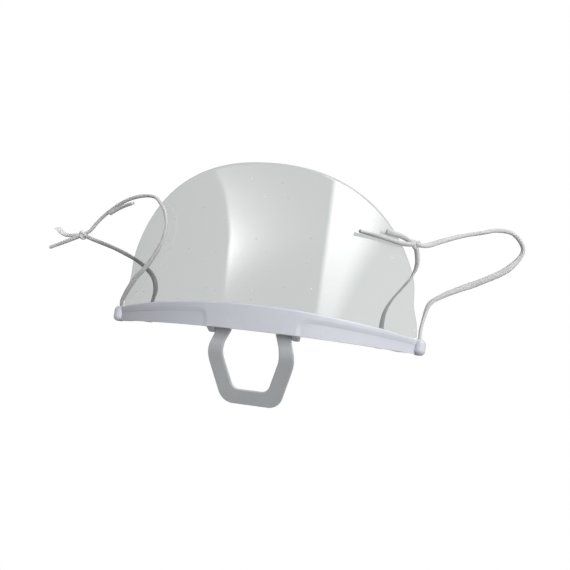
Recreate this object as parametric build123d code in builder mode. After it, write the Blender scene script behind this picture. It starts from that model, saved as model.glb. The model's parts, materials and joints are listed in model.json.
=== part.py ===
from build123d import *
from math import cos, exp, hypot, pi, radians, sin, tan
import os

# A transparent mouth and chin shield. The wearer looks along -Y, +Z is up, +X is the wearer's left.
# The row's origin is the middle of the chin seat, on the wearer's side of the chin rest.
# Heights are given above the band's lower edge, depths behind the band's outer face.

# ---- shield shell: band and film are cones about one upright axis ----
shield_radius = 129.0  # band's outer face, at its lower edge
shell_lean = 5.0  # degrees that the shell flares outward with height

# ---- chin band ----
band_height = 13.0  # in the middle
band_end_height = 7.6
band_half_width = 83.0
wall = 2.2
ledge_depth = 4.4  # ledge's rear edge, behind the outer face
ledge_low = 0.5
ledge_thickness = 1.8
ledge_half_width = 81.0
edge_round = 0.9  # the band's upper edges
lip_share = 0.42  # share of the band's height that the raised lip takes
panel_depth = 0.45  # recess on either side of the middle
panel_start = 25.0
panel_corner = 3.5
panel_slope = 2.0  # width of the slope that leads into the recess
panel_step = 0.15  # part of the recess's depth below the slope
panel_round = 2.0  # where the slope meets the band's face

# ---- cord eyelets at the band's ends, and cord guides behind it ----
cord_radius = 1.25
cord_hole_radius = 1.6
eyelet_angle = 40.6
eyelet_depth = 0.9
eyelet_boss_radius = 3.4
eyelet_boss_low = -0.4
eyelet_boss_high = 8.2
eyelet_round = 2.6
guide_angle = 31.2
guide_depth = 6.4
guide_boss_radius = 2.8
guide_boss_height = 6.0
left_run = (1.1, 1.0)  # heights of the cord's centre where it leaves the eyelet and reaches the guide
right_run = (-0.4, 2.6)
cord_bend = 2.0
cord_pull = (1.5, 1.0)  # how firmly the cord keeps its direction above the eyelet, and at the far end
cutter_reach = 5.0  # how far the hole cutters start below the band
knot_radius = 2.8
knot_turn = (90, 0, 0)  # keeps the knot's poles clear of the cords that leave it

# ---- visor film and the snap studs that hold it ----
film_thickness = 0.3
film_depth = 2.25
film_low = 2.6
film_shoulder = 8.4  # below this the film is narrower, to clear the eyelet bosses
film_tab_angle = 39.0
film_angle = 39.95
film_rise = 78.2
dome_power = 2.29
dome_fullness = 0.562
film_waist = 1.3  # degrees that each side edge draws in above the bosses
waist_height = 25.0
waist_spread = 8.5
waist_power = 5  # keeps the waist to the side edges
dome_steps = 12  # points on each side of the dome
stud_angles = (-35, -20, -9, 9, 20, 35)
stud_height = 5.2
stud_radius = 1.1
stud_hole_radius = 1.3
stud_head_radius = 1.8
stud_head_thickness = 1.0
stud_head_taper = 25.0
stud_root = 1.2  # depth at which the stud leaves the wall
stud_head_gap = 0.3

# ---- chin rest: a bent loop that hangs from two lugs ----
hinge_depth = 10.6
hinge_height = 0.2
hinge_pin_radius = 1.25
hinge_hole_radius = 1.3
knuckle_radius = 2.0
knuckle_inner_half = 12.5
knuckle_taper = (2.0, 1.4)  # along and across the pin, at the knuckle's inner end
lug_radius = 2.3
lug_thickness = 3.6
lug_root_depth = 2.6
lug_root_width = 0.1
lug_gap = 0.3  # between the chin rest and a lug
lug_round = 0.7
rest_thickness = 2.0
rest_root_depth = 9.65
rest_knee_depth = 8.5
rest_knee_height = -8.8
rest_foot_height = -36.9
rest_tilt = 30.0  # below the knee
rest_bend = 10.0
rest_trim = 3.0  # length of the bent plate that the outline cuts off
rest_bar = 9.0  # width of the bar that the chin sits on
rest_root_half = 20.0
rest_wide_half = 23.3
rest_foot_half = 15.2
rest_wide_height = -12.3
rest_inner_root_half = 10.8
rest_inner_neck_half = 14.2
rest_inner_wide_half = 14.9
rest_inner_foot_half = 9.2
rest_inner_neck_height = -6.5
rest_knee_round = 16.0
rest_neck_round = 8.0
rest_inner_round = 12.0
rest_outer_corner = 8.0
rest_inner_corner = 4.5
rest_edge_round = 0.6

# ---- working values ----
tiny = 0.01
facing = 0.5  # a face whose normal has more than this along Y looks forward or back
cut_margin = 1.0  # how far cutters and blanks run past what they cut

# ---- places that follow from those sizes ----
tilt = radians(rest_tilt)
lug_inner = rest_root_half + lug_gap
pin_end = lug_inner + lug_thickness - lug_gap
pin_root = rest_root_half - cut_margin
neck_height = hinge_height - lug_radius - lug_gap
root_height = hinge_height + knuckle_radius
rest_inner_foot_height = rest_foot_height + rest_bar * cos(tilt)
plate_end_height = rest_foot_height - rest_trim
plate_end_depth = rest_knee_depth + (rest_knee_height - plate_end_height) * tan(tilt)
seat_height = (rest_foot_height + rest_inner_foot_height) / 2
seat_depth = rest_knee_depth + (rest_knee_height - seat_height) * tan(tilt) + rest_thickness / 2 / cos(tilt)

face_y = -seat_depth  # band's outer face on the centre line
axis_y = face_y + shield_radius
band_z = -seat_height  # band's lower edge

shield_axis = Axis((0, axis_y, 0), (0, 0, 1))
shell_section = Plane(origin=(0, axis_y, band_z), x_dir=(0, -1, 0), z_dir=(-1, 0, 0))  # radius, height
front_view = Plane(origin=(0, axis_y, band_z), x_dir=(1, 0, 0), z_dir=(0, -1, 0))  # X, height
side_view = Plane(origin=(0, face_y, band_z), x_dir=(0, 1, 0), z_dir=(1, 0, 0))  # depth, height
band_frame = Plane(origin=(0, face_y, band_z))  # X, depth, height
reach = shield_radius + 20  # further forward than anything on the shell


def shell_radius(depth, height):
    """Distance from the shield's axis at a depth and a height."""
    return shield_radius - depth + height * tan(radians(shell_lean))


def depth_at(point):
    """Depth of a point behind the band's outer face."""
    return shell_radius(0, point.Z - band_z) - hypot(point.X, point.Y - axis_y)


def on_face(edge):
    """True for an edge on the band's outer face that is neither at an end of it nor on its underside."""
    middle = edge @ 0.5
    inboard = abs(middle.X) < band_half_width - tiny and middle.Z > band_z + tiny
    return inboard and abs(depth_at(middle)) < tiny and abs(depth_at(edge @ 0.1)) < tiny


def ring_section(front_depth, back_depth, low, high):
    """Section through a leaning ring, drawn in the shell_section plane."""
    Polygon(
        (shell_radius(back_depth, low), low),
        (shell_radius(front_depth, low), low),
        (shell_radius(front_depth, high), high),
        (shell_radius(back_depth, high), high),
        align=None,
    )


def plan_point(angle, depth, height=0):
    """X and depth of a point round the band."""
    radius = shell_radius(depth, height)
    return radius * sin(radians(angle)), shield_radius - radius * cos(radians(angle))


def arch_outline(share, half_width, low):
    """Front-view outline under an arch that keeps a share of the band's height."""
    end_height = share * band_end_height
    with BuildLine() as outline:
        crown = ThreePointArc((-half_width, end_height), (0, share * band_height), (half_width, end_height))
        Polyline(crown @ 1, (half_width, low), (-half_width, low), crown @ 0)
    make_face(outline.edges())


def inward_plane(angle, depth):
    """A plane at a stud's height that faces the shield's axis."""
    x, y = plan_point(angle, depth, stud_height)
    turn = radians(angle)
    return Plane(
        origin=(x, face_y + y, band_z + stud_height),
        x_dir=(cos(turn), sin(turn), 0),
        z_dir=(-sin(turn), cos(turn), 0),
    )


eyelet_x, eyelet_y = plan_point(eyelet_angle, eyelet_depth)
guide_x, guide_y = plan_point(guide_angle, guide_depth)
eyelets = [(-eyelet_x, eyelet_y), (eyelet_x, eyelet_y)]
guides = [(-guide_x, guide_y), (guide_x, guide_y)]

# ---- recessed panels of the band's face, as a cutter ----
with BuildPart() as panel_cutter:
    with BuildSketch(shell_section):
        ring_section(-2 * panel_depth, panel_depth, -cut_margin, band_height)
    revolve(axis=shield_axis)
    with BuildSketch(front_view) as panels:
        arch_outline(1 - lip_share, band_half_width + cut_margin, -cut_margin)
        Rectangle(2 * panel_start, 4 * band_height, mode=Mode.SUBTRACT)
        inner_corners = panels.vertices().filter_by(lambda v: v.Y > 0 and abs(v.X) < panel_start + cut_margin)
        fillet(inner_corners, panel_corner)
    extrude(amount=reach, mode=Mode.INTERSECT)

# ---- ledge behind the band's lower edge ----
with BuildPart() as ledge:
    with BuildSketch(shell_section):
        ring_section(wall / 2, ledge_depth, ledge_low, ledge_low + ledge_thickness)
    revolve(axis=shield_axis)
    with BuildSketch(front_view):
        Rectangle(2 * ledge_half_width, 2 * band_height)
    extrude(amount=reach, mode=Mode.INTERSECT)

# ---- rounded bosses at the band's ends ----
with BuildPart() as eyelet_bosses:
    with BuildSketch(band_frame.offset(eyelet_boss_low)):
        with Locations(*eyelets):
            Circle(eyelet_boss_radius)
    extrude(amount=eyelet_boss_high - eyelet_boss_low)
    fillet(eyelet_bosses.edges().filter_by(GeomType.CIRCLE), eyelet_round)

# ---- lugs that carry the chin rest's pins ----
with BuildPart() as lugs:
    with BuildSketch(*[side_view.offset(x) for x in (lug_inner, -lug_inner - lug_thickness)]):
        with Locations((hinge_depth, hinge_height)):
            Circle(lug_radius)
        with Locations((lug_root_depth, ledge_low + ledge_thickness / 2)):
            Rectangle(lug_root_width, ledge_thickness)
        make_hull()
    extrude(amount=lug_thickness)
    fillet(lugs.edges().filter_by(GeomType.CIRCLE), lug_round)

# ---- chin frame: band, ledge, studs, eyelets, guides and lugs in one moulding ----
with BuildPart() as chin_frame:
    with BuildSketch(shell_section):
        ring_section(0, wall, 0, band_height + cut_margin)
    revolve(axis=shield_axis)
    with BuildSketch(front_view):
        arch_outline(1, band_half_width, 0)
    extrude(amount=reach, mode=Mode.INTERSECT)
    add(panel_cutter.part, mode=Mode.SUBTRACT)
    outer_faces = chin_frame.faces().filter_by(lambda f: abs(depth_at(f.position_at(0.5, 0.5))) < tiny)
    rims = chin_frame.edges(Select.LAST).filter_by(on_face)
    chamfer(rims, panel_slope, panel_depth - panel_step, reference=outer_faces.sort_by(SortBy.AREA)[-1])
    fillet(chin_frame.edges(Select.LAST).filter_by(on_face), panel_round)
    long_edges = chin_frame.edges().filter_by(lambda e: e.length > band_half_width)
    fillet(long_edges.sort_by(Axis.Z)[-2:], edge_round)
    add(ledge.part)

    add(eyelet_bosses.part)
    with BuildSketch(band_frame.offset(ledge_low)):
        with Locations(*guides):
            Circle(guide_boss_radius)
    extrude(amount=guide_boss_height - ledge_low)

    add(lugs.part)

    # snap studs for the film
    with BuildSketch(*[inward_plane(a, stud_root) for a in stud_angles]):
        Circle(stud_radius)
    extrude(amount=film_depth + film_thickness + stud_head_gap + stud_head_thickness / 2 - stud_root)
    with BuildSketch(*[inward_plane(a, film_depth + film_thickness + stud_head_gap) for a in stud_angles]):
        Circle(stud_head_radius)
    extrude(amount=stud_head_thickness, taper=stud_head_taper)

    # holes: cord holes through the bosses, pin holes through the lugs, and the groove between the cord holes
    with BuildSketch(band_frame.offset(-cutter_reach)):
        with Locations(*eyelets, *guides):
            Circle(cord_hole_radius)
    extrude(amount=band_height + cutter_reach, mode=Mode.SUBTRACT)
    with BuildSketch(side_view):
        with Locations((hinge_depth, hinge_height)):
            Circle(hinge_hole_radius)
    extrude(amount=lug_inner + lug_thickness, both=True, mode=Mode.SUBTRACT)
    for side, (eyelet_end, guide_end) in ((1, left_run), (-1, right_run)):
        with BuildLine(band_frame) as groove:
            Line((side * guide_x, guide_y, guide_end), (side * eyelet_x, eyelet_y, eyelet_end))
        with BuildSketch(Plane(origin=groove.line @ 0, z_dir=groove.line % 0)):
            Circle(cord_hole_radius)
        sweep(path=groove.line, mode=Mode.SUBTRACT)
chin_frame.part.label = "chin_frame"

# ---- visor film: a die-cut sheet, punched for the studs and curved round the band ----
dome = []
for step in range(-dome_steps, dome_steps + 1):
    share = sin(step / dome_steps * pi / 2)
    rise = film_rise * (1 - abs(share) ** dome_power) ** dome_fullness * cos(radians(shell_lean))
    height = band_end_height + rise
    waist = film_waist * share**waist_power * exp(-(((height - waist_height) / waist_spread) ** 2))
    dome.append((shell_radius(film_depth, height) * sin(radians(share * film_angle - waist)), height))
notch_start = shell_radius(film_depth, 0) * sin(radians(film_tab_angle))
notch_width = band_half_width - notch_start

with BuildPart() as visor_film:
    with BuildSketch(shell_section):
        ring_section(film_depth, film_depth + film_thickness, film_low, film_shoulder + film_rise)
    revolve(axis=shield_axis)
    with BuildSketch(front_view):
        with BuildLine():
            Spline(*dome, tangents=[(0, 1), (0, -1)])
            Polyline(dome[-1], (dome[-1][0], film_low), (dome[0][0], film_low), dome[0])
        make_face()
        with Locations((notch_start + notch_width / 2, 0), (-notch_start - notch_width / 2, 0)):
            Rectangle(notch_width, 2 * film_shoulder, mode=Mode.SUBTRACT)
    extrude(amount=reach, mode=Mode.INTERSECT)
    with BuildSketch(*[inward_plane(a, stud_root) for a in stud_angles]):
        Circle(stud_hole_radius)
    extrude(amount=ledge_depth, mode=Mode.SUBTRACT)
visor_film.part.label = "visor_film"

# ---- knuckles of the chin rest, tapered at their inner ends ----
with BuildPart() as knuckles:
    with BuildSketch(*[side_view.offset(x) for x in (knuckle_inner_half, -rest_root_half)]):
        with Locations((hinge_depth, hinge_height)):
            Circle(knuckle_radius)
    extrude(amount=rest_root_half - knuckle_inner_half)
    for end in knuckles.faces().filter_by(Axis.X).sort_by(Axis.X)[1:3]:
        chamfer(end.edges(), knuckle_taper[1], knuckle_taper[0], reference=end)

# ---- chin rest: a bent plate cut to an open-topped loop, with a knuckle and a pin on each limb ----
with BuildPart() as chin_rest:
    with BuildSketch(side_view):
        with BuildLine():
            FilletPolyline(
                (rest_root_depth, hinge_height),
                (rest_knee_depth, rest_knee_height),
                (plate_end_depth, plate_end_height),
                radius=rest_bend,
            )
        trace(line_width=rest_thickness)
    extrude(amount=rest_wide_half, both=True)
    with BuildSketch(front_view) as rest_outline:
        Polygon(
            (-rest_root_half, band_height),
            (-rest_root_half, neck_height),
            (-rest_wide_half, rest_wide_height),
            (-rest_foot_half, rest_foot_height),
            (rest_foot_half, rest_foot_height),
            (rest_wide_half, rest_wide_height),
            (rest_root_half, neck_height),
            (rest_root_half, band_height),
            align=None,
        )
        fillet(rest_outline.vertices().group_by(Axis.Y)[0], rest_outer_corner)
        knees = rest_outline.vertices().filter_by(lambda v: abs(abs(v.X) - rest_wide_half) < tiny)
        fillet(knees, rest_knee_round)
        necks = rest_outline.vertices().filter_by(lambda v: abs(v.Y - neck_height) < tiny)
        fillet(necks, rest_neck_round)
        with BuildSketch(mode=Mode.PRIVATE) as rest_opening:
            Polygon(
                (-rest_inner_root_half, band_height),
                (-rest_inner_root_half, root_height),
                (-rest_inner_neck_half, rest_inner_neck_height),
                (-rest_inner_wide_half, rest_wide_height),
                (-rest_inner_foot_half, rest_inner_foot_height),
                (rest_inner_foot_half, rest_inner_foot_height),
                (rest_inner_wide_half, rest_wide_height),
                (rest_inner_neck_half, rest_inner_neck_height),
                (rest_inner_root_half, root_height),
                (rest_inner_root_half, band_height),
                align=None,
            )
            fillet(rest_opening.vertices().group_by(Axis.Y)[0], rest_inner_corner)
            kinks = rest_opening.vertices().filter_by(lambda v: rest_wide_height - tiny < v.Y < hinge_height)
            fillet(kinks, rest_inner_round)
        add(rest_opening.sketch, mode=Mode.SUBTRACT)
    extrude(amount=reach, both=True, mode=Mode.INTERSECT)
    broad_faces = chin_rest.faces().filter_by(lambda f: abs(f.normal_at().Y) > facing)
    rims = broad_faces.edges().filter_by(lambda e: abs((e % 0.5).X) < 1 - tiny or abs(e.center().X) < tiny)
    fillet(rims, rest_edge_round)
    add(knuckles.part)
    with BuildSketch(*[side_view.offset(x) for x in (pin_root, -pin_end)]):
        with Locations((hinge_depth, hinge_height)):
            Circle(hinge_pin_radius)
    extrude(amount=pin_end - pin_root)
chin_rest.part.label = "chin_rest"

# ---- ear cords: round elastic on each side, in two lengths that meet at the film's side edge ----
# The anchored length comes down through the eyelet from a strand in front of or beside the film,
# runs under the band, and goes up through the guide to a strand behind the film.
# The ear cord carries on from both ends to a knot.


def cord_along(path):
    """Round cord along a path, added to the active part."""
    with BuildSketch(Plane(origin=path @ 0, z_dir=path % 0)) as section:
        Circle(cord_radius)
    sweep(section.sketch, path=path)


def strand_end(strand):
    """Direction of the last stretch of a strand."""
    return (Vector(*strand[-1]) - Vector(*strand[-2])).normalized()


def anchor_path(side, run, eyelet_strand, guide_strand):
    """Centre line of an anchored cord; the strands are points from the cord holes outward."""
    eyelet = (side * eyelet_x, eyelet_y)
    guide = (side * guide_x, guide_y)
    with BuildLine() as line:
        Spline(
            (*eyelet, eyelet_boss_high),
            *eyelet_strand,
            tangents=[(0, 0, 1), strand_end(eyelet_strand)],
            tangent_scalars=cord_pull,
        )
        FilletPolyline(
            (*eyelet, eyelet_boss_high),
            (*eyelet, run[0]),
            (*guide, run[1]),
            (*guide, guide_boss_height),
            radius=cord_bend,
        )
        Spline((*guide, guide_boss_height), *guide_strand, tangents=[(0, 0, 1), strand_end(guide_strand)])
    return line.wire().moved(band_frame.location)


left_eyelet_strand = [(83.5, 32.6, 13), (84.1, 33.5, 16.5)]
left_guide_strand = [(64, 22.3, 18), (67, 22.8, 25.5), (71.5, 24.8, 32.5), (76.2, 27, 40)]
right_eyelet_strand = [
    (-82.8, 29.6, 11),
    (-80.8, 26.9, 14.8),
    (-77.3, 23, 19),
    (-72.6, 18.4, 24.2),
    (-66.4, 14.2, 28.6),
    (-59.4, 9.5, 35.5),
    (-55.4, 6.8, 43),
    (-54, 5.2, 51),
    (-56, 5.4, 58.5),
    (-60.5, 8.3, 64.3),
]
right_guide_strand = [
    (-61, 21.2, 13),
    (-60, 19.8, 19),
    (-62.3, 20, 25.5),
    (-70.5, 24.2, 32.3),
    (-78, 27.3, 36.5),
]

with BuildPart() as left_cord_anchor:
    cord_along(anchor_path(1, left_run, left_eyelet_strand, left_guide_strand))
left_cord_anchor.part.label = "left_cord_anchor"

with BuildPart() as right_cord_anchor:
    cord_along(anchor_path(-1, right_run, right_eyelet_strand, right_guide_strand))
right_cord_anchor.part.label = "right_cord_anchor"

left_knot = (76.5, 21, 55.8)
left_loop = [
    (84.6, 34.4, 20),
    (87, 36, 28),
    (93, 38, 33),
    (113, 44, 44),
    (128, 47, 54),
    (134.3, 48, 64.5),
    (128.5, 45, 72),
    (120, 42, 72.7),
    (99.7, 33, 65.4),
    left_knot,
]
left_return = [left_knot, (78.2, 23.5, 50), (77.6, 26.2, 44)]
left_tails = [
    [left_knot, (70.3, 14.3, 54.1), (58, 6.5, 55), (48.6, 0.8, 55.3)],
    [left_knot, (69, 13, 57.5), (61.5, 8, 58)],
]

right_knot = (-116, 36, 49)
right_loop = [
    (-63.4, 11.2, 67),
    (-67.5, 15, 69.5),
    (-75, 19, 71),
    (-83.2, 22, 70),
    (-92, 26, 67.3),
    (-100.6, 30, 62.3),
    (-112, 35, 51.5),
    right_knot,
]
right_return = [(-115, 36, 48), (-110, 35.6, 46.7), (-101.5, 34, 44.7), (-90, 30.6, 41.4), (-81.2, 28, 38.2)]
right_tails = [
    [(-116.5, 36, 49.5), (-129.5, 38, 49.1), (-135.6, 39, 52.5)],
    [(-116.5, 36, 48), (-127.5, 38, 44.8), (-138.8, 40, 40.6)],
]

with BuildPart() as left_ear_cord:
    with Locations(band_frame * Pos(*left_knot)):
        Sphere(knot_radius, rotation=knot_turn)
    for points in (left_loop, left_return, *left_tails):
        with BuildLine(band_frame) as strand:
            Spline(*points)
        cord_along(strand.wire())
left_ear_cord.part.label = "left_ear_cord"

with BuildPart() as right_ear_cord:
    with Locations(band_frame * Pos(*right_knot)):
        Sphere(knot_radius, rotation=knot_turn)
    for points in (right_loop, right_return, *right_tails):
        with BuildLine(band_frame) as strand:
            Spline(*points)
        cord_along(strand.wire())
right_ear_cord.part.label = "right_ear_cord"

os.makedirs("parts", exist_ok=True)
pieces = (
    chin_frame,
    visor_film,
    chin_rest,
    left_cord_anchor,
    left_ear_cord,
    right_cord_anchor,
    right_ear_cord,
)
for piece in pieces:
    export_step(piece.part, f"parts/{piece.part.label}.step")
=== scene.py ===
import json
from math import acos, cos, exp, pi, radians, sin, tan

import bpy
from mathutils import Matrix, Vector, noise


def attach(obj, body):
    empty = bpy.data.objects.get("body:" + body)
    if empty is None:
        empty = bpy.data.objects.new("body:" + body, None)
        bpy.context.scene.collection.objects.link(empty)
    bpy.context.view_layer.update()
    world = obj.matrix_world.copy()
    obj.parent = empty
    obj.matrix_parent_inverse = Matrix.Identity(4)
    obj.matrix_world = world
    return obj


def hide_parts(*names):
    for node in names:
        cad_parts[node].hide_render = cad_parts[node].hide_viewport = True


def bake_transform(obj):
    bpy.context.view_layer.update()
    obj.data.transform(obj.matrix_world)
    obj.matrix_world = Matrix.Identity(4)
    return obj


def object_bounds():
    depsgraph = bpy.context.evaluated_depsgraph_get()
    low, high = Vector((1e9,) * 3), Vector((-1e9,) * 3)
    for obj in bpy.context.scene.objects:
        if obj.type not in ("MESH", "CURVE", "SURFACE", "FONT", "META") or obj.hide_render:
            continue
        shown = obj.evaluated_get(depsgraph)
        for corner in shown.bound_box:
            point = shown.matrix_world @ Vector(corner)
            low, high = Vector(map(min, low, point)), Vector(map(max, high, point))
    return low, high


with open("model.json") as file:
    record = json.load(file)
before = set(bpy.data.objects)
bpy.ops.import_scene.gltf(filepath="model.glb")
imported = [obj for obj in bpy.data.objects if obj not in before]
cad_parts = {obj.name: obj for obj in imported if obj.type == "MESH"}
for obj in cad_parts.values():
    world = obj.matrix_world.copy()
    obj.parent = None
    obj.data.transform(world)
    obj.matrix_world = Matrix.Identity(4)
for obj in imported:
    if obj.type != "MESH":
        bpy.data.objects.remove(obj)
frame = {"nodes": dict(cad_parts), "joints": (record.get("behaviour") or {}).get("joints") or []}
cad_low, cad_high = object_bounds()

# ---------------------------------------------------------------------------
# Driving sizes in metres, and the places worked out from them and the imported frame.
# The band's middle is the point on its outer face, on its lower edge, at the shield's centre line.
# ---------------------------------------------------------------------------
MM = 0.001
shield_radius = 129.0 * MM
shell_lean = radians(5.0)
band_end_height = 7.6 * MM
hinge_depth = 10.6 * MM
hinge_height = 0.2 * MM
cord_radius = 1.25 * MM
cord_spacing = 0.22 * MM
braid_pitch = 1.1 * MM
braid_yarns = 8

joints = {j["name"]: j for j in frame["joints"]}
hinge = Vector(joints["chin_rest_fold"]["pos_m"])
band_middle = hinge + Vector((0, -hinge_depth, -hinge_height))


def at(x, depth, height):
    """A point given in millimetres: across, behind the band's face, above its lower edge."""
    return band_middle + Vector((x, depth, height)) * MM


def shell_point(angle, depth, height):
    """A point on the leaning shell, `depth` behind the band's outer face, all in metres and radians."""
    radius = shield_radius - depth + height * tan(shell_lean)
    return band_middle + Vector((radius * sin(angle), shield_radius - radius * cos(angle), height))


# ---------------------------------------------------------------------------
# Materials
# ---------------------------------------------------------------------------
white = (1, 1, 1, 1)


class Nodes:
    """Short helper for building a node tree."""

    def __init__(self, tree):
        self.tree = tree
        tree.nodes.clear()

    def add(self, kind, inputs=None, **settings):
        node = self.tree.nodes.new(kind)
        for key, value in settings.items():
            setattr(node, key, value)
        for key, value in (inputs or {}).items():
            if isinstance(value, bpy.types.NodeSocket):
                self.tree.links.new(value, node.inputs[key])
            else:
                node.inputs[key].default_value = value
        return node

    def math(self, operation, a, b=0.0):
        return self.add("ShaderNodeMath", {0: a, 1: b}, operation=operation).outputs[0]

    def product(self, first, *others):
        for other in others:
            first = self.math("MULTIPLY", first, other)
        return first

    def remap(self, value, low, high, out_low=0.0, out_high=1.0):
        inputs = {0: value, 1: low, 2: high, 3: out_low, 4: out_high}
        return self.add("ShaderNodeMapRange", inputs).outputs[0]

    def ramp(self, value, low, high):
        """Smooth 0 to 1 between low and high."""
        inputs = {0: value, 1: low, 2: high, 3: 0.0, 4: 1.0}
        return self.add("ShaderNodeMapRange", inputs, interpolation_type="SMOOTHSTEP").outputs[0]

    def fall(self, value, low, high):
        """Smooth 1 to 0 between low and high."""
        return self.math("SUBTRACT", 1.0, self.ramp(value, low, high))

    def noise(self, coord, scale, detail=3.0, rough=0.5):
        inputs = {"Vector": coord, "Scale": scale, "Detail": detail, "Roughness": rough}
        return self.add("ShaderNodeTexNoise", inputs).outputs["Fac"]

    def bump(self, height, strength, distance, normal=None):
        inputs = {"Height": height, "Strength": strength, "Distance": distance}
        if normal is not None:
            inputs["Normal"] = normal
        return self.add("ShaderNodeBump", inputs).outputs[0]

    def mix_color(self, share, first, second):
        return self.add("ShaderNodeMix", {0: share, 6: first, 7: second}, data_type="RGBA").outputs[2]

    def mix_shader(self, share, first, second):
        return self.add("ShaderNodeMixShader", {0: share, 1: first.outputs[0], 2: second.outputs[0]})

    def output(self, kind, shader):
        self.add(kind, {"Surface": shader.outputs[0]})


def new_material(name):
    material = bpy.data.materials.new(name)
    material.use_nodes = True
    return material, Nodes(material.node_tree)


def moulded_plastic(name, color, shade, roughness, scatter):
    """Injection-moulded plastic: slight flow marks in the colour, faint orange-peel and fine scuffs."""
    material, n = new_material(name)
    coord = n.add("ShaderNodeTexCoord").outputs["Object"]
    flow = n.noise(coord, scale=45.0, detail=4.0)
    scuff = n.noise(coord, scale=900.0, detail=6.0, rough=0.65)
    peel = n.noise(coord, scale=260.0, detail=2.0)
    base = n.mix_color(n.remap(flow, 0.35, 0.7), color, shade)
    bump = n.bump(peel, strength=0.12, distance=0.3 * MM)
    fine = n.bump(scuff, strength=0.1, distance=0.05 * MM, normal=bump)
    shader = n.add(
        "ShaderNodeBsdfPrincipled",
        {
            "Base Color": base,
            "Roughness": n.remap(scuff, 0.3, 0.75, roughness * 0.8, roughness * 1.4),
            "IOR": 1.49,
            "Subsurface Weight": scatter,
            "Subsurface Radius": (1.0, 1.0, 1.0),
            "Subsurface Scale": 2 * MM,
            "Normal": fine,
        },
    )
    n.output("ShaderNodeOutputMaterial", shader)
    return material


film_tint = (0.775, 0.788, 0.786, 1)
film_haze = (0.78, 0.80, 0.79, 1)
haze_share = 0.06
face_reflectance = 0.05  # looking straight at the sheet
grazing_power = 5.0  # how late the reflection grows towards grazing angles


def clear_film(name):
    """Thin clear sheet: a faint grey tint, a little haze, gently wavy gloss and fine dust."""
    material, n = new_material(name)
    coord = n.add("ShaderNodeTexCoord").outputs["Object"]
    wave = n.noise(coord, scale=14.0, detail=1.0)
    ripple = n.noise(coord, scale=70.0, detail=2.0)
    waviness = n.bump(wave, strength=0.25, distance=2 * MM)
    normal = n.bump(ripple, strength=0.03, distance=0.4 * MM, normal=waviness)
    dust = n.noise(coord, scale=420.0, detail=2.0)
    specks = n.remap(dust, 0.74, 0.78)
    see_through = n.add("ShaderNodeBsdfTransparent", {"Color": film_tint})
    haze = n.add("ShaderNodeBsdfDiffuse", {"Color": film_haze, "Normal": normal})
    dusty = n.mix_shader(specks, n.mix_shader(haze_share, see_through, haze), haze)
    gloss = n.add("ShaderNodeBsdfGlossy", {"Color": white, "Roughness": 0.04, "Normal": normal})
    incoming = n.add("ShaderNodeNewGeometry").outputs["Incoming"]
    facing = n.add("ShaderNodeVectorMath", {0: incoming, 1: normal}, operation="DOT_PRODUCT")
    grazing = n.math("SUBTRACT", 1.0, n.math("ABSOLUTE", facing.outputs["Value"]))
    growth = n.math("MULTIPLY", n.math("POWER", grazing, grazing_power), 1.0 - face_reflectance)
    reflectance = n.math("ADD", face_reflectance, growth)
    n.output("ShaderNodeOutputMaterial", n.mix_shader(reflectance, dusty, gloss))
    return material


cord_light = (0.56, 0.555, 0.55, 1)
cord_shade = (0.50, 0.50, 0.50, 1)
# Colour of the painted shade, for stretches of cord that lie in shade.
cord_painted_shade = (0.16, 0.165, 0.17, 1)
yarn_length = 0.9  # millimetres of cord in one wave of the surface weave
weave_height = 0.35  # against the fuzz


def elastic_cord(name):
    """Soft braided elastic: crossed yarns round the cord, with fuzz, and painted shade that darkens the
    colour where the mesh's per-point shade value says the cord lies in shade.
    """
    material, n = new_material(name)
    uv = n.add("ShaderNodeUVMap", uv_map="cord").outputs[0]
    coord = n.add("ShaderNodeTexCoord").outputs["Object"]
    place = n.add("ShaderNodeSeparateXYZ", {0: uv}).outputs
    around = n.math("MULTIPLY", place[0], braid_yarns * 2 * pi)
    onward = n.math("MULTIPLY", place[1], 2 * pi / yarn_length)
    leaning_left = n.math("SINE", n.math("ADD", around, onward))
    leaning_right = n.math("SINE", n.math("SUBTRACT", around, onward))
    weave = n.math("MULTIPLY", leaning_left, leaning_right)
    fuzz = n.noise(coord, scale=2600.0, detail=5.0, rough=0.7)
    patches = n.noise(coord, scale=160.0)
    height = n.add("ShaderNodeMath", {0: weave, 1: weave_height, 2: fuzz}, operation="MULTIPLY_ADD")
    normal = n.bump(height.outputs[0], strength=0.25, distance=0.03 * MM)
    unshaded = n.mix_color(n.remap(patches, 0.3, 0.7), cord_light, cord_shade)
    # Painted shade: each point's shade value darkens the colour towards the painted-shade colour.
    painted_shade = n.add("ShaderNodeAttribute", attribute_name="painted_shade").outputs["Fac"]
    base = n.mix_color(painted_shade, unshaded, cord_painted_shade)
    shader = n.add(
        "ShaderNodeBsdfPrincipled",
        {
            "Base Color": base,
            "Roughness": 0.9,
            "Specular IOR Level": 0.25,
            "Sheen Weight": 0.15,
            "Sheen Roughness": 0.5,
            "Subsurface Weight": 0.2,
            "Subsurface Radius": (1.0, 1.0, 1.0),
            "Subsurface Scale": 0.6 * MM,
            "Normal": normal,
        },
    )
    n.output("ShaderNodeOutputMaterial", shader)
    return material


frame_plastic = moulded_plastic(
    "frame_plastic", color=(0.545, 0.56, 0.61, 1), shade=(0.515, 0.53, 0.585, 1), roughness=0.22, scatter=0.25
)
rest_plastic = moulded_plastic(
    "rest_plastic", color=(0.44, 0.455, 0.47, 1), shade=(0.405, 0.42, 0.435, 1), roughness=0.32, scatter=0.3
)
film_plastic = clear_film("film_plastic")
cord_fabric = elastic_cord("cord_fabric")

# ---------------------------------------------------------------------------
# Mesh helpers
# ---------------------------------------------------------------------------


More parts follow.
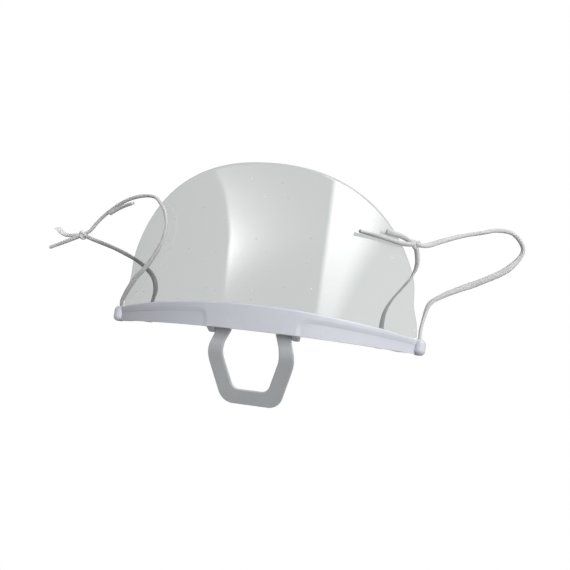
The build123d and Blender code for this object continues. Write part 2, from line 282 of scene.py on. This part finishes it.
def mesh_object(name, points, faces, material):
    """A smooth-shaded mesh, linked into the scene."""
    mesh = bpy.data.meshes.new(name)
    mesh.from_pydata([tuple(p) for p in points], [], faces)
    mesh.validate()
    mesh.polygons.foreach_set("use_smooth", [True] * len(mesh.polygons))
    mesh.materials.append(material)
    obj = bpy.data.objects.new(name, mesh)
    bpy.context.scene.collection.objects.link(obj)
    return obj


def curve_through(points, spacing):
    """Points evenly spaced along a centripetal Catmull-Rom curve."""
    ends = [points[0] * 2 - points[1], *points, points[-1] * 2 - points[-2]]
    dense = []
    for p0, p1, p2, p3 in zip(ends, ends[1:], ends[2:], ends[3:]):
        t1 = (p1 - p0).length ** 0.5
        t2 = t1 + (p2 - p1).length ** 0.5
        t3 = t2 + (p3 - p2).length ** 0.5
        steps = max(4, int((p2 - p1).length / spacing * 2))
        for step in range(steps):
            t = t1 + (t2 - t1) * step / steps
            a1 = p0.lerp(p1, t / t1)
            a2 = p1.lerp(p2, (t - t1) / (t2 - t1))
            a3 = p2.lerp(p3, (t - t2) / (t3 - t2))
            b1 = a1.lerp(a2, t / t2)
            b2 = a2.lerp(a3, (t - t1) / (t3 - t1))
            dense.append(b1.lerp(b2, (t - t1) / (t2 - t1)))
    dense.append(points[-1])
    even = [dense[0]]
    left = spacing
    for a, b in zip(dense, dense[1:]):
        length = (b - a).length
        while length > left:
            a = a.lerp(b, left / length)
            even.append(a)
            length = (b - a).length
            left = spacing
        left -= length
    even.append(dense[-1])
    return even


def blend_marks(points, marks):
    """Values at every point, blended between marks. A mark is a place in millimetres, then its values."""
    stops = []
    for place, *values in marks:
        spot = at(*place)
        stops.append((min(range(len(points)), key=lambda i: (points[i] - spot).length_squared), values))
    stops.sort(key=lambda stop: stop[0])
    stops = [(-1, stops[0][1]), *stops, (len(points), stops[-1][1])]
    result = []
    for (first, before), (last, after) in zip(stops, stops[1:]):
        for index in range(max(first, 0), last):
            share = (index - first) / (last - first)
            result.append([a + (b - a) * share for a, b in zip(before, after)])
    return result


def tube(points, radius, sides, shape, braid, sizes):
    """Rings of a cord along points, and the length up to each point.

    shape(share, metres) gives the section's width and thickness as factors, and its twist in radians.
    """
    rings = []
    lengths = [0.0]
    for a, b in zip(points, points[1:]):
        lengths.append(lengths[-1] + (b - a).length)
    tangent = (points[1] - points[0]).normalized()
    side = tangent.orthogonal().normalized()
    for i, p in enumerate(points):
        ahead = points[min(i + 1, len(points) - 1)] - points[max(i - 1, 0)]
        turn = tangent.rotation_difference(ahead.normalized())
        side = turn @ side
        tangent = ahead.normalized()
        other = tangent.cross(side)
        width, thickness, twist = shape(lengths[i] / lengths[-1], lengths[i])
        ring = []
        for k in range(sides):
            angle = 2 * pi * k / sides
            phase = 2 * pi * lengths[i] / braid_pitch
            weave = sin(braid_yarns * angle + phase) * sin(braid_yarns * angle - phase)
            r = radius * sizes[i] * (1 + braid * weave)
            u, v = r * width * cos(angle), r * thickness * sin(angle)
            sideways = u * cos(twist) - v * sin(twist)
            upwards = u * sin(twist) + v * cos(twist)
            ring.append(p + side * sideways + other * upwards)
        rings.append(ring)
    return rings, lengths


def cord_object(name, points, radius, shape, braid=0.012, sides=32, looks=None):
    """A cord with closed ends. looks holds a size factor and a painted shade, 0 unshaded to 1 dark, for every
    point.
    """
    looks = looks or [(1.0, 0.0)] * len(points)
    rings, lengths = tube(points, radius, sides, shape, braid, [size for size, _ in looks])
    verts = [p for ring in rings for p in ring]
    faces = []
    for i in range(len(rings) - 1):
        for k in range(sides):
            a, b = i * sides + k, i * sides + (k + 1) % sides
            faces.append((a, b, b + sides, a + sides))
    for ring_start, at_start in ((0, True), ((len(rings) - 1) * sides, False)):
        centre = sum((verts[ring_start + k] for k in range(sides)), Vector()) / sides
        verts.append(centre)
        hub = len(verts) - 1
        for k in range(sides):
            a, b = ring_start + k, ring_start + (k + 1) % sides
            faces.append((hub, b, a) if at_start else (hub, a, b))
    obj = mesh_object(name, verts, faces, cord_fabric)
    layer = obj.data.uv_layers.new(name="cord")
    for poly in obj.data.polygons:
        for loop, vertex in zip(poly.loop_indices, poly.vertices):
            ring, k = divmod(min(vertex, len(rings) * sides - 1), sides)
            if k == 0 and any(v % sides == sides - 1 for v in poly.vertices):
                k = sides
            layer.data[loop].uv = (k / sides, lengths[ring] / MM)
    # Painted shade: each ring's shade value is stored on the mesh, for the cord material to darken its
    # colour.
    shade = obj.data.attributes.new("painted_shade", "FLOAT", "POINT")
    for index in range(len(obj.data.vertices)):
        ring = min(index // sides, len(lengths) - 1)
        shade.data[index].value = looks[ring][1]
    return obj


# ---------------------------------------------------------------------------
# Visor film
# ---------------------------------------------------------------------------
film_angle = radians(39.95)
tab_angle = radians(39.0)
film_depth = 2.25 * MM
film_thickness = 0.3 * MM
film_low = 2.6 * MM
film_shoulder = 8.4 * MM
film_notch = tab_angle / film_angle
film_waist = radians(1.3)
waist_height = 25.0 * MM
waist_spread = 8.5 * MM
waist_power = 5
film_rise = 78.2 * MM
dome_power = 2.29
dome_fullness = 0.562
last_share = 0.999  # just inside the dome's ends, where its height falls to nothing
least_strip = 0.05 * MM


def film_top(share):
    """Height of the film's top edge, where share runs from -1 to 1 across the film."""
    dome = max(0.0, 1 - abs(share) ** dome_power) ** dome_fullness
    return band_end_height + film_rise * dome * cos(shell_lean)


def make_film():
    """The domed sheet: columns crowd towards its ends, and its side edges are drawn in at the waist."""
    columns, rows = 240, 60
    shares = [last_share * sin(pi / 2 * (2 * c / columns - 1)) for c in range(columns + 1)]
    verts, faces = [], []
    for share in shares:
        low = film_low if abs(share) < film_notch else film_shoulder
        top = max(film_top(share), low + least_strip)
        for r in range(rows + 1):
            height = low + (top - low) * r / rows
            away = (height - waist_height) / waist_spread
            waist = film_waist * share**waist_power * exp(-(away**2))
            verts.append(shell_point(share * film_angle - waist, film_depth, height))
    for c in range(columns):
        for r in range(rows):
            a = c * (rows + 1) + r
            faces.append((a, a + rows + 1, a + rows + 2, a + 1))
    film = mesh_object("visor_film_sheet", verts, faces, film_plastic)
    thick = film.modifiers.new("thickness", "SOLIDIFY")
    thick.thickness = film_thickness
    thick.offset = -1
    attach(film, "frame")
    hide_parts("visor_film")


make_film()

# ---------------------------------------------------------------------------
# Ear cords
# ---------------------------------------------------------------------------
# Places in millimetres, as at() takes them: the eyelets and guides are mirrored, so these are for both sides.
eyelet = (83.364, 31.735)
guide = (63.507, 24.131)
hole_top = 8
guide_top = 6.5
# Per side, the heights of the cord's centre under the eyelet and under the guide.
runs = {1: (1.1, 1.0), -1: (-0.4, 2.6)}
bend = 2.0


def rounded_corner(before, corner, after):
    """Points round the arc that replaces a sharp corner of the cord's path."""
    back = (before - corner).normalized()
    on = (after - corner).normalized()
    half = acos(back.dot(on)) / 2
    centre = corner + (back + on).normalized() * bend / sin(half)
    start = corner + back * bend / tan(half) - centre
    end = corner + on * bend / tan(half) - centre
    steps = 6
    return [centre + start.slerp(end, step / steps) for step in range(steps + 1)]


def under_band(side):
    """Centre line from the top of the eyelet, under the band and up to the top of the guide."""
    top = Vector((side * eyelet[0], eyelet[1], hole_top))
    low = Vector((side * eyelet[0], eyelet[1], runs[side][0]))
    high = Vector((side * guide[0], guide[1], runs[side][1]))
    out = Vector((side * guide[0], guide[1], guide_top))
    path = [top, *rounded_corner(top, low, high), (low + high) / 2, *rounded_corner(low, high, out), out]
    return [at(*p) for p in path]


left_knot = (76.5, 21, 55.8)
left_loop = [
    left_knot, (82.2, 24.2, 56.6), (89.8, 28, 60.5), (99.7, 33, 65.4), (110.4, 38, 69.4), (120, 42, 72.7),
    (128.5, 45, 72), (134.3, 48, 64.5), (127.8, 47, 53.8), (113, 44, 44), (102.5, 41, 38.5), (93, 38, 33),
    (87, 36, 28), (84.6, 34.6, 20), (83.5, 32.6, 13),
]
left_return = [
    (64, 22.3, 18), (67, 22.8, 25.5), (71.5, 24.8, 32.5), (76.2, 27, 40), (78.2, 25.5, 46), (77.8, 23, 51),
    left_knot,
]
left_tails = [
    [left_knot, (70.3, 14.3, 54.1), (58, 6.5, 55), (48.6, 0.8, 55.3)],
    [left_knot, (69, 13, 57.5), (61.5, 8, 58)],
]

right_knot = (-117, 36, 48.3)
right_loop = [
    right_knot, (-112.5, 35, 51), (-107.8, 33, 56), (-100.8, 30, 61.6), (-92, 26, 66.5), (-83.2, 22, 69.2),
    (-75, 19, 70.2), (-67.5, 15, 68.8), (-60.5, 8.3, 63.7), (-56, 5.4, 58.2), (-54, 5.2, 51),
    (-55.4, 6.8, 43), (-59.4, 9.5, 35.5), (-65.2, 13.2, 28.4), (-71, 17, 23.6), (-76, 21.6, 18.4),
    (-79.8, 25.8, 14.4),
    (-82.6, 29.4, 10.8),
]
right_return = [
    (-61, 21.2, 13), (-60, 19.8, 18.5), (-62.3, 20, 24.5), (-70.5, 24.2, 31), (-78, 27.3, 35),
    (-90, 30.6, 39.9), (-101.5, 34, 43.6), (-110, 35.6, 46), right_knot,
]
right_tails = [
    [right_knot, (-121.5, 37, 48), (-129.8, 38, 48), (-136.2, 39, 51.9)],
    [right_knot, (-128, 38, 44), (-139, 40, 39.8)],
]
right_spare = [(-98, 27.5, 60.6), (-90.5, 24, 63.7), (-81.6, 19.5, 65.6)]


section_width = 1.06
section_thickness = 0.90
section_change = 0.08
section_rate = 70  # changes per metre of cord
twist_most = 2.5
twist_rate = 40
flat_from = 0.45  # share of a tail's length where it starts to flatten
flat_widening = 0.7
flat_thinning = 0.55


def soft_shape(seed):
    """A slightly flattened section that turns slowly along the cord, as soft elastic does."""

    def shape(share, metres):
        wander = noise.noise(Vector((metres * twist_rate, seed, 0)))
        flat = noise.noise(Vector((metres * section_rate, seed, 5)))
        change = section_change * flat
        return section_width + change, section_thickness - change, twist_most * wander

    return shape


def tail_shape(seed, flatten):
    """As soft_shape, with the cut end pressed flat: flatten is 0 for not at all and 1 for fully."""
    base = soft_shape(seed)

    def shape(share, metres):
        width, thickness, twist = base(share, metres)
        spread = flatten * max(0.0, share - flat_from) / (1 - flat_from)
        return width * (1 + flat_widening * spread), thickness * (1 - flat_thinning * spread), twist

    return shape


def knot_object(name, place, body):
    """A small tight overhand knot: a trefoil of cord drawn together into one lump."""
    size = 0.62 * MM
    depth = -1.3
    steps = 90
    points = []
    for step in range(steps + 1):
        t = 2 * pi * step / steps
        trefoil = Vector((sin(t) + 2 * sin(2 * t), depth * sin(3 * t), cos(t) - 2 * cos(2 * t)))
        points.append(place + trefoil * size)
    lump = cord_object(name, points, 1.05 * MM, lambda share, metres: (1, 1, 0), braid=0.0, sides=16)
    remesh = lump.modifiers.new("draw", "REMESH")
    remesh.mode = "VOXEL"
    remesh.voxel_size = 0.16 * MM
    remesh.use_smooth_shade = True
    relax = lump.modifiers.new("relax", "SMOOTH")
    relax.iterations = 3
    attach(lump, body)


tail_thinness = 0.92
spare_thinness = 0.95


def loose_end(name, path, thinness, shape, body):
    """A cut end of cord that moves with its loop."""
    points = curve_through([at(*p) for p in path], cord_spacing)
    end = cord_object(name, points, cord_radius * thinness, shape)
    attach(end, body)


def make_cord(side_name, side, loop, back, tails, flatten, marks, seed):
    """One ear cord with its knot and tails, which are attached to the ear loop's swinging part."""
    body = f"{side_name}_ear_loop"
    path = [at(*p) for p in loop] + under_band(side) + [at(*p) for p in back]
    points = curve_through(path, cord_spacing)
    cord = cord_object(
        f"{side_name}_cord", points, cord_radius, soft_shape(seed), looks=blend_marks(points, marks)
    )
    joint = joints[f"{side_name}_ear_loop_swing"]
    axis = Vector(joint["axis"])
    outward = Vector((axis.z, 0, -axis.x)).normalized()
    if outward.x * side < 0:
        outward = -outward
    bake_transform(cord)
    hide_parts(f"{side_name}_cord_anchor", f"{side_name}_ear_cord")
    knot_object(f"{side_name}_cord_knot", at(*loop[0]), body)
    for index, tail in enumerate(tails):
        shape = tail_shape(seed + index, flatten[index])
        loose_end(f"{side_name}_cord_tail_{index + 1}", tail, tail_thinness, shape, body)


# Where the cord looks wider, narrower or darker: a place, the size as a factor, and the painted shade,
# darkening painted into the colour where the cord lies in shade.
left_marks = [
    ((89.8, 28, 60.5), 1.05, 0.0),
    ((110.4, 38, 69.4), 0.95, 0.0),
    ((134.3, 48, 64.5), 1.0, 0.0),
    ((127.8, 47, 53.8), 1.4, 0.0),
    ((113, 44, 44), 1.45, 0.0),
    ((102.5, 41, 38.5), 1.25, 0.0),
    ((93, 38, 33), 1.15, 0.0),
    ((87, 36, 28), 1.0, 0.0),
    ((84.6, 34.6, 20), 0.8, 0.0),
    ((83.5, 32.6, 13), 0.85, 0.0),
    ((64, 22.3, 10), 1.0, 0.3),
    ((64, 22.3, 18), 0.8, 0.3),
    ((67, 22.8, 25.5), 0.5, 0.0),
    ((76.2, 27, 40), 0.5, 0.0),
    ((78.2, 25.5, 46), 0.95, 0.0),
    ((77.8, 23, 51), 1.0, 0.0),
]
right_marks = [
    ((-112, 35, 50.8), 0.85, 0.0),
    ((-83.2, 22, 69.2), 0.85, 0.1),
    ((-75, 19, 70.2), 0.85, 0.1),
    ((-60.5, 8.3, 63.7), 0.75, 0.0),
    ((-54, 5.2, 51), 0.68, 0.0),
    ((-59.4, 9.5, 35.5), 0.85, 0.0),
    ((-72.6, 18.4, 24.2), 1.0, 0.0),
    ((-82.8, 29.6, 11), 0.9, 0.1),
    ((-61, 21.2, 13), 0.7, 0.1),
    ((-60, 19.8, 18.5), 1.0, 0.1),
    ((-62.3, 20, 24.5), 1.05, 0.15),
    ((-70.5, 24.2, 31), 0.95, 0.35),
    ((-78, 27.3, 35), 0.9, 0.75),
    ((-90, 30.6, 39.9), 0.85, 0.7),
    ((-101.5, 34, 43.6), 0.85, 0.6),
    ((-110, 35.6, 46), 0.85, 0.3),
]
make_cord("left", 1, left_loop, left_return, left_tails, (0.2, 0.4), left_marks, 3.0)
make_cord("right", -1, right_loop, right_return, right_tails, (1.0, 0.1), right_marks, 11.0)
loose_end("right_cord_spare_end", right_spare, spare_thinness, tail_shape(20.0, 0.2), "right_ear_loop")

# ---------------------------------------------------------------------------
# Moulded pieces keep their CAD shape
# ---------------------------------------------------------------------------
for node, material in (("chin_frame", frame_plastic), ("chin_rest", rest_plastic)):
    piece = frame["nodes"][node]
    piece.data.materials.clear()
    piece.data.materials.append(material)

# ---------------------------------------------------------------------------
# Floor, light and camera
# ---------------------------------------------------------------------------


def direction(azimuth, elevation):
    """Unit vector from the shield, in degrees. Azimuth 0 is the front, and grows to the viewer's right."""
    a, e = radians(azimuth), radians(elevation)
    return Vector((sin(a) * cos(e), -cos(a) * cos(e), sin(e)))


def make_world():
    """Studio: a dim grey room with soft lights front right, front left and overhead, white to the camera.

    Places are in degrees of azimuth and elevation, as in direction(), and levels are multiples of white.
    """
    world = bpy.data.worlds.new("studio")
    bpy.context.scene.world = world
    world.use_nodes = True
    n = Nodes(world.node_tree)
    coord = n.add("ShaderNodeTexCoord").outputs["Generated"]
    across, away, up = n.add("ShaderNodeSeparateXYZ", {0: coord}).outputs
    degrees = 180 / pi
    azimuth = n.math("MULTIPLY", n.math("ARCTAN2", across, n.math("MULTIPLY", away, -1.0)), degrees)
    elevation = n.math("MULTIPLY", n.math("ARCSINE", up), degrees)

    # Softbox, front right: a sharp left side, and a right side that softens and widens with height.
    fade_start = n.remap(elevation, -2, 9, 27.5, 38)
    fade_end = n.remap(elevation, -2, 9, 37, 64)
    box_edge = n.ramp(azimuth, 19.3, 23.0)
    box_fade = n.fall(azimuth, fade_start, fade_end)
    box_level = n.remap(elevation, -4, 6, 1.3, 5.6)
    box_top = n.fall(elevation, 32, 50)
    box_low = n.ramp(elevation, -14, -3)
    box = n.product(box_edge, box_fade, box_level, box_top, box_low)

    # Light wall beside it.
    wall = n.product(box_edge, n.fall(azimuth, 78, 120), box_top)

    # Small soft light, front left: its left side leans outwards with height, its right side dies away, and it
    # is brightest in a low bell, with a weaker glow above.
    streak_azimuth, lean_start, lean = -30.0, 3.5, 0.36
    bell_elevation, bell_spread, bell_level, glow_level = 3.0, 3.3, 7.0, 1.1
    past = n.math("MAXIMUM", n.math("SUBTRACT", elevation, lean_start), 0.0)
    streak_edge = n.math("SUBTRACT", streak_azimuth, n.product(past, past, lean))
    beyond = n.math("SUBTRACT", azimuth, streak_edge)
    streak_rise = n.ramp(beyond, -1.2, 1.6)
    width = n.remap(elevation, 0, 9, 8.0, 20.0)
    inside = n.math("MAXIMUM", beyond, 0.0)
    streak_fall = n.math("EXPONENT", n.math("DIVIDE", inside, n.math("MULTIPLY", width, -1.0)))
    lift = n.math("DIVIDE", n.math("SUBTRACT", elevation, bell_elevation), bell_spread)
    bell = n.math("EXPONENT", n.product(lift, lift, -1.0))
    glow = n.product(n.ramp(elevation, 3, 8), glow_level)
    streak_level = n.math("ADD", n.math("MULTIPLY", bell, bell_level), glow)
    streak_top = n.fall(elevation, 12, 25)
    streak = n.product(streak_rise, streak_fall, streak_level, streak_top)

    # Overhead softbox, to the right.
    over = n.product(n.ramp(elevation, 35, 60), n.ramp(azimuth, -60, 40))

    room = n.math("ADD", n.remap(azimuth, -60, 30, 0.27, 0.42), n.remap(elevation, 10, 70, 0.0, 0.15))
    light = n.math("ADD", n.math("ADD", box, wall), n.math("ADD", n.math("ADD", streak, over), room))
    grey = n.add("ShaderNodeCombineColor", {0: light, 1: light, 2: light}).outputs[0]
    studio = n.add("ShaderNodeBackground", {"Color": grey, "Strength": 1.0})
    backdrop = n.add("ShaderNodeBackground", {"Color": white, "Strength": 1.0})
    seen = n.add("ShaderNodeLightPath").outputs["Is Camera Ray"]
    n.output("ShaderNodeOutputWorld", n.mix_shader(seen, studio, backdrop))


floor_light = 0.30  # what the floor gives back to the shield, as a multiple of white


def floor_material():
    """Pale floor: evenly lit, so that it reads as one white with the backdrop."""
    material, n = new_material("floor_pale")
    seen = n.add("ShaderNodeLightPath").outputs["Is Camera Ray"]
    pale = n.add("ShaderNodeEmission", {"Color": white, "Strength": 1.0})
    dim = n.add("ShaderNodeEmission", {"Color": white, "Strength": floor_light})
    n.output("ShaderNodeOutputMaterial", n.mix_shader(seen, dim, pale))
    return material


make_world()
bpy.context.scene.view_settings.view_transform = "Standard"

floor_half = 0.9
floor_gap = 0.16
floor_height = cad_low.z - floor_gap
corners = ((-1, -1), (1, -1), (1, 1), (-1, 1))
floor = mesh_object(
    "floor",
    [Vector((x * floor_half, y * floor_half, floor_height)) for x, y in corners],
    [(0, 1, 2, 3)],
    floor_material(),
)

view_azimuth = 13.33
view_elevation = -4.83
view_distance = 0.3206
view_roll = radians(7.43)
aim = at(14.8, 0.1, 24.4)
lens = 40.73


def make_camera():
    """The photograph's viewpoint: a little to the right, slightly from below, and rolled."""
    data = bpy.data.cameras.new("camera")
    data.lens = lens
    data.sensor_width = 36
    data.clip_start = 0.01
    camera = bpy.data.objects.new("camera", data)
    bpy.context.scene.collection.objects.link(camera)
    camera.location = band_middle + direction(view_azimuth, view_elevation) * view_distance
    forward = (aim - camera.location).normalized()
    right = forward.cross(Vector((0, 0, 1))).normalized()
    up = right.cross(forward)
    up_rolled = up * cos(view_roll) - right * sin(view_roll)
    right_rolled = forward.cross(up_rolled)
    rotation = Matrix((right_rolled, up_rolled, -forward)).transposed()
    camera.rotation_mode = "QUATERNION"
    camera.rotation_quaternion = rotation.to_quaternion()
    bpy.context.scene.camera = camera


make_camera()
